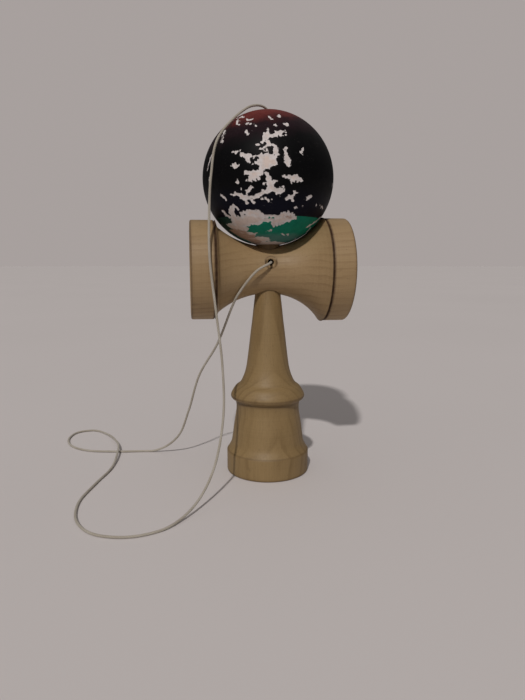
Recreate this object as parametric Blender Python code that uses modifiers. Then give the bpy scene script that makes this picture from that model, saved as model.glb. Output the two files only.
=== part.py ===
"""A kendama standing on its base cup, with the ball on the spike and a slack cord.

The ken is one turned handle: spike, neck, collar, grip and base cup. The sarado is
the turned crosspiece with a cup at each end, pressed over the ken's spike. The ball
sits over the spike, and a cord runs from the ken, out through the sarado, along the
floor and up into the top of the ball, where a bead and a knot hold it.

Frame: +Z up the ken, X along the sarado with the small cup at -X, origin at the
centre of the base cup's rim. Sizes below are in millimetres.
"""

import math

import bmesh
import bpy
from mathutils import Vector

MM = 0.001
GAP = 0.3  # left between pieces that touch
MERGE_M = 0.00002

# ken, the handle: radius and height, from the spike's tip down its outer side
TIP_Z = 144.5
SPIKE = [(1.5, 144.2), (2.6, 143.2), (3.1, 141.6)]
SPIKE_ROOT = (5.7, 108.4)
SEAT_BOTTOM = (6.0, 87.2)
NECK = [(6.2, 85.4), (6.9, 79.5), (7.5, 74.0), (8.2, 68.6), (9.5, 57.6), (10.6, 50.6), (11.9, 46.6), (13.4, 43.8)]
COLLAR = [(15.6, 42.0), (16.9, 40.1), (17.8, 38.3), (17.9, 37.3), (17.4, 36.4), (16.0, 35.4)]
GRIP = [(15.4, 33.8), (15.3, 30.6), (15.9, 26.5), (16.6, 22.2), (17.2, 17.6), (17.9, 14.0), (19.2, 11.4)]
BASE_R = 20.0
BASE_BAND_TOP = 10.3
BASE_CREASE = (19.7, 10.7)
BASE_EDGE = 0.8
BASE_CUP = (17.4, 7.0)  # mouth radius and depth

# sarado, the crosspiece
SARADO_Z = 97.8
SARADO_HALF = 36.4
WAIST_R = 10.8
SMALL_R = 22.8
BIG_R = 24.1
SMALL_COVE_R = 37.0
BIG_COVE_R = 30.8
SMALL_COVE_X = 23.9  # where each cove ends below its lip
BIG_COVE_X = 24.6
SMALL_LIP = (22.8, 25.0)  # radius and x of the lip between cove and groove
BIG_LIP = (24.4, 25.3)
SMALL_GROOVE_R = 22.2  # the groove's floor
BIG_GROOVE_R = 23.4
GROOVE_WIDTH = 0.9
RIM_EDGE = 0.9
SMALL_CUP = (19.9, 10.2)  # mouth radius and depth
BIG_CUP = (21.5, 11.6)
CORD_HOLE_Z = 101.4
CORD_HOLE_R = 1.5

# ball
BALL_R = 30.0
BALL_Z = 138.9
BORE_R = 6.0
BORE_BEVEL = 0.4
BORE_END_Z = 156.4
BALL_CORD_HOLE_R = 1.4
BALL_CORD_BEVEL = 0.7
DRILL_SLOPE = math.tan(math.radians(59))  # half the drill's point angle

# bead and knots
BEAD_R = 4.5
BEAD_LOW_Z = 151.2
BEAD_HIGH_Z = 157.5
BEAD_HOLE_R = 0.95
BEAD_SINK_R = 2.2
BEAD_SINK_DEPTH = 2.2
KNOT_R = 1.6
KEN_KNOT_Y = 3.4
KNOT_RECESS_R = 2.2

# cord: its free route, from the hole in the sarado to the hole in the ball's top
CORD_R = 0.55
CORD_FLOOR_Z = 0.6
CORD_ROUTE = [
    (0, -10.2, 101.4), (-1.2, -13, 100.9), (-7.3, -14.5, 97.5), (-15.1, -11.1, 87.3), (-17.5, -7.4, 81.7),
    (-24.2, 2.4, 62.6), (-32.9, 10.4, 45.9), (-38.6, 16.4, 26), (-44.4, 22.6, 10.8),
    (-56, 30, 1.3), (-76.3, 32.3, 0.6), (-93, 36.2, 0.6), (-103, 45, 0.6), (-107.3, 58, 0.6),
    (-104.5, 70, 0.6), (-95.5, 72.8, 0.6), (-86, 63, 0.8), (-77.6, 40.5, 2.1), (-76.2, 27, 2.2),
    (-77, 8, 0.8), (-81.8, -10.8, 0.6), (-85.8, -31, 0.6), (-83, -49, 0.6), (-75, -59.8, 0.6),
    (-62, -63.8, 0.6), (-50, -60.3, 0.6), (-41.4, -52, 1.6), (-34, -42.6, 6), (-28, -34.5, 15.5),
    (-23.7, -28, 35), (-23.7, -25.9, 57), (-26, -24.7, 80), (-28.4, -24.1, 103), (-28.2, -20.4, 121),
    (-27, -17.9, 138), (-23.9, -16.3, 153), (-11.2, -8.2, 167.4), (-5.5, -4, 170.2), (-2, -1.5, 170.2),
    (-0.5, -0.4, 169.3), (0, 0, 167.4),
]  # fmt: skip
CORD_STEPS = 2

ROUND = 40  # sides of the large turned pieces

DRAWN = {}


def start_collections():
    """Empties the scene and makes a collection for the toy and one for its cutters."""
    for old in list(bpy.data.objects):
        bpy.data.objects.remove(old, do_unlink=True)
    for key, name in (("parts", "kendama"), ("cutters", "kendama_cutters")):
        collection = bpy.data.collections.new(name)
        bpy.context.scene.collection.children.link(collection)
        DRAWN[key] = collection


def finish_of(name, colour, roughness, metallic=0.0):
    """A Principled material."""
    material = bpy.data.materials.new(name)
    material.use_nodes = True
    shader = material.node_tree.nodes["Principled BSDF"]
    shader.inputs["Base Color"].default_value = (*colour, 1.0)
    shader.inputs["Roughness"].default_value = roughness
    shader.inputs["Metallic"].default_value = metallic
    return material


def place(name, data, material=None, cutter=False):
    """Links an object to the toy's collection, or to the cutters'."""
    piece = bpy.data.objects.new(name, data)
    DRAWN["cutters" if cutter else "parts"].objects.link(piece)
    if cutter:
        piece.hide_render = True
        piece.display_type = "WIRE"
    if material:
        data.materials.append(material)
    return piece


def between(points, steps):
    """A smooth curve through points, with this many steps between each two (centripetal Catmull-Rom)."""
    route = [Vector(p) for p in points]
    route = [2 * route[0] - route[1], *route, 2 * route[-1] - route[-2]]
    line = []
    for a, b, c, d in zip(route, route[1:], route[2:], route[3:]):
        ta = math.sqrt((b - a).length)
        tb = ta + math.sqrt((c - b).length)
        tc = tb + math.sqrt((d - c).length)
        for i in range(steps):
            t = ta + (tb - ta) * i / steps
            ab = a.lerp(b, t / ta)
            bc = b.lerp(c, (t - ta) / (tb - ta))
            cd = c.lerp(d, (t - tb) / (tc - tb))
            line.append(ab.lerp(bc, t / tb).lerp(bc.lerp(cd, (t - ta) / (tc - ta)), (t - ta) / (tb - ta)))
    return [*line, Vector(points[-1])]


def arc(centre, radius, first, last, steps):
    """Points on an arc in the (radius, height) plane, angles in degrees from the +radius axis."""
    angles = [math.radians(first + (last - first) * i / steps) for i in range(steps + 1)]
    return [(centre[0] + radius * math.cos(a), centre[1] + radius * math.sin(a)) for a in angles]


def lathe(name, outline, material=None, closed=False, sides=ROUND, cutter=False):
    """A turned solid about its own Z: the outline runs down its outer side. It may be a closed loop."""
    mesh = bpy.data.meshes.new(name)
    count = len(outline)
    edges = [(i, i + 1) for i in range(count - 1)]
    if closed:
        edges.append((count - 1, 0))
    mesh.from_pydata([(r * MM, 0, z * MM) for r, z in outline], edges, [])
    piece = place(name, mesh, material, cutter)
    screw = piece.modifiers.new("turned", "SCREW")
    screw.steps = sides
    screw.render_steps = sides
    screw.use_merge_vertices = True
    screw.merge_threshold = MERGE_M
    screw.use_smooth_shade = True
    return piece


def as_mesh(piece):
    """Puts a piece's evaluated shape in its own mesh, welded, with sharp edges kept, and drops its modifiers."""
    depsgraph = bpy.context.evaluated_depsgraph_get()
    mesh = bpy.data.meshes.new_from_object(piece.evaluated_get(depsgraph))
    shape = bmesh.new()
    shape.from_mesh(mesh)
    bmesh.ops.remove_doubles(shape, verts=shape.verts, dist=MERGE_M)
    shape.to_mesh(mesh)
    shape.free()
    mesh.shade_smooth()
    mesh.set_sharp_from_angle(angle=math.radians(35))
    piece.modifiers.clear()
    piece.data = mesh
    return piece


def rod(name, radius, ends, sides=16):
    """A cylinder cutter between two points."""
    low, high = (Vector(end) * MM for end in ends)
    along = high - low
    mesh = bpy.data.meshes.new(name)
    shape = bmesh.new()
    bmesh.ops.create_cone(
        shape, cap_ends=True, segments=sides, radius1=radius * MM, radius2=radius * MM, depth=along.length
    )
    shape.to_mesh(mesh)
    shape.free()
    piece = place(name, mesh, cutter=True)
    piece.location = (low + high) / 2
    piece.rotation_euler = along.to_track_quat("Z", "Y").to_euler()
    return piece


def cut(piece, cutter, operation="DIFFERENCE"):
    """A Boolean with the exact solver."""
    boolean = piece.modifiers.new(cutter.name, "BOOLEAN")
    boolean.operation = operation
    boolean.solver = "EXACT"
    boolean.object = cutter
    return piece


def cup_end(outer, mouth, depth, height, edge, up):
    """A cup's end of a turned piece: its rounded outer edge, its flat rim and the ball-shaped cup to its middle."""
    ease = 0.4 * edge
    side = arc((outer - edge, height - up * edge), edge, 0, up * 90, 3)
    radius = (mouth * mouth + depth * depth) / (2 * depth)
    centre = height - up * ease + up * (radius - depth)
    tilt = 90 - math.degrees(math.asin(mouth / radius))
    bowl = arc((0, centre), radius, -up * tilt, -up * 90, 6)
    return [*side, (mouth + ease, height), *bowl[:-1], (0, bowl[-1][1])]


def ken_outline():
    """The handle, from the spike's tip down to the base cup's middle."""
    return [
        (0, TIP_Z), *SPIKE, SPIKE_ROOT, SEAT_BOTTOM, *NECK, *COLLAR, *GRIP, BASE_CREASE,
        (BASE_R, BASE_BAND_TOP), *cup_end(BASE_R, *BASE_CUP, 0, BASE_EDGE, -1),
    ]  # fmt: skip


def ken(material):
    """The handle, with a cross hole for the cord and a recess for its knot."""
    piece = as_mesh(lathe("ken", ken_outline(), material))
    hole = rod("ken_cord_hole", CORD_HOLE_R, [(0, -12, CORD_HOLE_Z), (0, KEN_KNOT_Y, CORD_HOLE_Z)])
    recess = rod("ken_knot_recess", KNOT_RECESS_R, [(0, KEN_KNOT_Y - 2.4, CORD_HOLE_Z), (0, 12, CORD_HOLE_Z)])
    return cut(cut(piece, hole), recess)


def groove(lip, floor, band, side):
    """The lip and the turned V groove between a cove and its rim band, from the lip outwards."""
    radius, x = lip
    return [(radius, side * x), (floor, side * (x + GROOVE_WIDTH / 2)), (band, side * (x + GROOVE_WIDTH))]


def cove(radius, end_x, side):
    """The hollow between the waist and a band, from the waist outwards: a circle's arc."""
    steps = 7
    spots = [end_x * i / steps for i in range(1, steps + 1)]
    return [(WAIST_R + radius - math.sqrt(radius * radius - x * x), side * x) for x in spots]


def sarado_outline():
    """The crosspiece turned about its length, from the big cup's middle to the small cup's."""
    return [
        *cup_end(BIG_R, *BIG_CUP, SARADO_HALF, RIM_EDGE, 1)[::-1], *groove(BIG_LIP, BIG_GROOVE_R, BIG_R, 1)[::-1],
        *cove(BIG_COVE_R, BIG_COVE_X, 1)[::-1], (WAIST_R, 0), *cove(SMALL_COVE_R, SMALL_COVE_X, -1),
        *groove(SMALL_LIP, SMALL_GROOVE_R, SMALL_R, -1),
        *cup_end(SMALL_R, *SMALL_CUP, -SARADO_HALF, RIM_EDGE, -1),
    ]  # fmt: skip


def seat_cutter():
    """The tapered hole through the sarado, one gap wider than the ken."""
    (top_r, top_z), (low_r, low_z) = SPIKE_ROOT, SEAT_BOTTOM
    slope = (low_r - top_r) / (top_z - low_z)
    reach = 6
    outline = [
        (0, top_z + reach), (top_r + GAP - slope * reach, top_z + reach),
        (low_r + GAP + slope * reach, low_z - reach), (0, low_z - reach),
    ]  # fmt: skip
    return as_mesh(lathe("sarado_seat", outline, cutter=True))


def sarado(material):
    """The crosspiece, laid along X, with its hole for the ken and its hole for the cord."""
    piece = as_mesh(lathe("sarado", sarado_outline(), material))
    piece.rotation_euler = (0, math.radians(90), 0)
    piece.location = (0, 0, SARADO_Z * MM)
    cord_hole = rod("sarado_cord_hole", CORD_HOLE_R, [(0, -20, CORD_HOLE_Z), (0, -3, CORD_HOLE_Z)])
    return cut(cut(piece, seat_cutter()), cord_hole)


def on_ball(radius):
    """The angle from the ball's equator of a circle of this radius on its surface, in degrees."""
    return math.degrees(math.acos(radius / BALL_R))


def ball_outline():
    """The ball as a closed loop: the sphere down to the bevel, then the bore up to the cord's hole."""
    top_r = BALL_CORD_HOLE_R + BALL_CORD_BEVEL
    low_r = BORE_R + BORE_BEVEL
    skin = arc((0, BALL_Z), BALL_R, on_ball(top_r), -on_ball(low_r), 22)
    bevel_z = skin[-1][1] + BORE_BEVEL
    drill_end = BORE_END_Z + (BORE_R - BALL_CORD_HOLE_R) / DRILL_SLOPE
    hole_top = skin[0][1] - BALL_CORD_BEVEL
    return [
        *skin, (BORE_R, bevel_z), (BORE_R, BORE_END_Z),
        (BALL_CORD_HOLE_R, drill_end), (BALL_CORD_HOLE_R, hole_top),
    ]  # fmt: skip


def bead_outline():
    """The bead as a closed loop: a rounded barrel with a countersunk hole."""
    ease = 1.1
    return [
        (BEAD_HOLE_R, BEAD_HIGH_Z), (BEAD_R - ease, BEAD_HIGH_Z), (BEAD_R - 0.3, BEAD_HIGH_Z - 0.45),
        (BEAD_R, BEAD_HIGH_Z - ease), (BEAD_R, BEAD_LOW_Z + ease), (BEAD_R - 0.3, BEAD_LOW_Z + 0.3),
        (BEAD_R - ease, BEAD_LOW_Z), (BEAD_SINK_R, BEAD_LOW_Z), (BEAD_HOLE_R, BEAD_LOW_Z + BEAD_SINK_DEPTH),
    ]  # fmt: skip


def tied_end(name, knot_z, end_z, material):
    """A short straight end of cord with its knot, turned about Z: the knot is below the end."""
    bulb = arc((0, knot_z), KNOT_R, 66, -90, 6)
    outline = [(0, end_z), (CORD_R, end_z), *bulb[:-1], (0, bulb[-1][1])]
    return lathe(name, outline, material, sides=12)


def cord(material):
    """The free cord: a tube along the smooth curve through its route, never below the floor."""
    line = between(CORD_ROUTE, CORD_STEPS)
    curve = bpy.data.curves.new("cord", "CURVE")
    curve.dimensions = "3D"
    curve.bevel_depth = CORD_R * MM
    curve.bevel_resolution = 2
    curve.use_fill_caps = True
    spline = curve.splines.new("POLY")
    spline.points.add(len(line) - 1)
    for point, spot in zip(spline.points, line):
        point.co = (spot.x * MM, spot.y * MM, max(spot.z, CORD_FLOOR_Z) * MM, 1)
    return place("cord", curve, material)


def main():
    start_collections()
    wood = finish_of("beech", (0.48, 0.33, 0.18), 0.55)
    paint = finish_of("black_paint", (0.012, 0.014, 0.022), 0.4)
    bead_paint = finish_of("bead", (0.08, 0.07, 0.06), 0.45)
    thread = finish_of("cord_thread", (0.68, 0.63, 0.52), 0.85)
    ken(wood)
    sarado(wood)
    lathe("ball", ball_outline(), paint, closed=True)
    lathe("bead", bead_outline(), bead_paint, closed=True, sides=20)
    cord(thread)
    tied_end("cord_end_in_ball", BEAD_LOW_Z, CORD_ROUTE[-1][2] - GAP, thread)
    end = tied_end("cord_end_in_ken", 0, -CORD_ROUTE[0][1] + KEN_KNOT_Y - GAP, thread)
    end.location = (0, KEN_KNOT_Y * MM, CORD_HOLE_Z * MM)
    end.rotation_euler = (math.radians(90), 0, 0)


main()
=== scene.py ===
"""A kendama standing on its base cup: the looks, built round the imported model.

The turned pieces are dense lathe meshes of the model's sizes, with dents, burnt groove
lines and wood grain through the solid. The ball is painted in bands and chipped. The cord
is a twisted tube along its route. Sizes below are in millimetres and angles in degrees.
"""

import math
import random

import bpy
import numpy as np
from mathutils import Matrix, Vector, noise


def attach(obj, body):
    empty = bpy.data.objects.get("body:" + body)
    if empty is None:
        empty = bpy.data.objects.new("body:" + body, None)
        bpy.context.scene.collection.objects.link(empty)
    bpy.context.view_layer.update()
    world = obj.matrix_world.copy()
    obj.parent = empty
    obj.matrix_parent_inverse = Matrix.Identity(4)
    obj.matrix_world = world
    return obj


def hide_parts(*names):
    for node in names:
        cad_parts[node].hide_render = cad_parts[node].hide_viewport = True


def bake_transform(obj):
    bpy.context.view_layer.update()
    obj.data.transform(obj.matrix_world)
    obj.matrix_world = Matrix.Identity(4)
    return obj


MM = 0.001

# camera: its place in metres, how far it looks down, its turn about Z, and its lens for a 36 mm sensor
EYE = (-0.03897, -0.25859, 0.10141)
EYE_DOWN = 9.11
EYE_TURN = -8.02
LENS = 28.13

# light: the key lamp is a distant sun in this direction
KEY_PLACE = (-0.6, -1.65, 1.65)
KEY_POWER = 1.85
BACKDROP = (0.39, 0.352, 0.341, 1)
SKY_STRENGTH = (0.0, 1.0, 0.035, 0.36)  # two heights on a sky of radius 1, then its strength at each

# ken, as in the model: radius and height down its outer side
TIP_Z = 144.5
SPIKE = [(1.5, 144.2), (2.6, 143.2), (3.1, 141.6)]
SPIKE_ROOT = (5.7, 108.4)
SEAT_BOTTOM = (6.0, 87.2)
NECK = [
    (6.2, 85.4), (6.9, 79.5), (7.5, 74.0), (8.2, 68.6), (9.5, 57.6), (10.6, 50.6), (11.9, 46.6), (13.4, 43.8),
]  # fmt: skip
COLLAR = [(15.6, 42.0), (16.9, 40.1), (17.8, 38.3), (17.9, 37.3), (17.4, 36.4), (16.0, 35.4)]
GRIP = [(15.4, 33.8), (15.3, 30.6), (15.9, 26.5), (16.6, 22.2), (17.2, 17.6), (17.9, 14.0), (19.2, 11.4)]
BASE_R = 20.0
BASE_BAND_TOP = 10.3
BASE_CREASE = (19.7, 10.7)
BASE_EDGE = 0.8
BASE_CUP = (17.4, 7.0)  # mouth radius and depth
UNDER_COLLAR_Z = 35.0
COLLAR_LINE_Z = 37.5
TIP_GRIME = (134, 144)
SPIKE_ROOT_SHADE = (106, 107.6, 109, 112)  # painted shade on the spike's root under the ball: fades in over the first two heights and out over the last

# sarado, as in the model
SARADO_Z = 97.8
SARADO_HALF = 36.4
WAIST_R = 10.8
SMALL_R = 22.8
BIG_R = 24.1
SMALL_COVE_R = 37.0
BIG_COVE_R = 30.8
SMALL_COVE_X = 23.9
BIG_COVE_X = 24.6
SMALL_LIP = (22.8, 25.0)
BIG_LIP = (24.4, 25.3)
SMALL_GROOVE_R = 22.2
BIG_GROOVE_R = 23.4
GROOVE_WIDTH = 0.9
COVE_CLOSE = 0.2  # how much nearer the ball the visible coves come than the model's
RIM_EDGE = 0.9
SMALL_CUP = (19.9, 10.2)  # mouth radius and depth
BIG_CUP = (21.5, 11.6)
SEAT_GAP = 0.3
CORD_HOLE_Z = 101.4
CORD_HOLE_R = 1.5
CORD_HOLE_SINK = (2.7, 0.7)  # countersink radius and depth
CORD_HOLE_SKIN = 10.1  # how far the wood at the hole is from the ken's axis

# ball, as in the model
BALL_R = 30.0
BALL_Z = 138.9
BORE_R = 6.0
BORE_BEVEL = 0.4
BORE_END_Z = 156.4
BALL_CORD_HOLE_R = 1.4
BALL_CORD_BEVEL = 0.7
DRILL_SLOPE = math.tan(math.radians(59))  # half the drill's point angle
PAINT = 0.14  # how deep a chip goes

# bead and knots, as in the model
BEAD_R = 4.5
BEAD_LOW_Z = 151.2
BEAD_HIGH_Z = 157.5
BEAD_HOLE_R = 0.95
BEAD_SINK_R = 2.2
BEAD_SINK_DEPTH = 2.2
KEN_KNOT_Y = 3.4
KNOT_RECESS_R = 2.2

# cord: its free route, the same as in the model
CORD_R = 0.55
CORD_FLOOR_Z = 0.6
CORD_ROUTE = [
    (0, -10.2, 101.4), (-1.2, -13, 100.9), (-7.3, -14.5, 97.5), (-15.1, -11.1, 87.3), (-17.5, -7.4, 81.7),
    (-24.2, 2.4, 62.6), (-32.9, 10.4, 45.9), (-38.6, 16.4, 26), (-44.4, 22.6, 10.8),
    (-56, 30, 1.3), (-76.3, 32.3, 0.6), (-93, 36.2, 0.6), (-103, 45, 0.6), (-107.3, 58, 0.6),
    (-104.5, 70, 0.6), (-95.5, 72.8, 0.6), (-86, 63, 0.8), (-77.6, 40.5, 2.1), (-76.2, 27, 2.2),
    (-77, 8, 0.8), (-81.8, -10.8, 0.6), (-85.8, -31, 0.6), (-83, -49, 0.6), (-75, -59.8, 0.6),
    (-62, -63.8, 0.6), (-50, -60.3, 0.6), (-41.4, -52, 1.6), (-34, -42.6, 6), (-28, -34.5, 15.5),
    (-23.7, -28, 35), (-23.7, -25.9, 57), (-26, -24.7, 80), (-28.4, -24.1, 103), (-28.2, -20.4, 121),
    (-27, -17.9, 138), (-23.9, -16.3, 153), (-11.2, -8.2, 167.4), (-5.5, -4, 170.2), (-2, -1.5, 170.2),
    (-0.5, -0.4, 169.3), (0, 0, 167.4),
]  # fmt: skip
BURNT_AND_SHADE = (0.05, 0.021, 0.007)  # colour of the wood's burnt lines and grime, and of the shade painted into its creases, rim edges and the spike's root

TWIST = 3.4  # length of one turn of the cord's strands
STRANDS = 3

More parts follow.
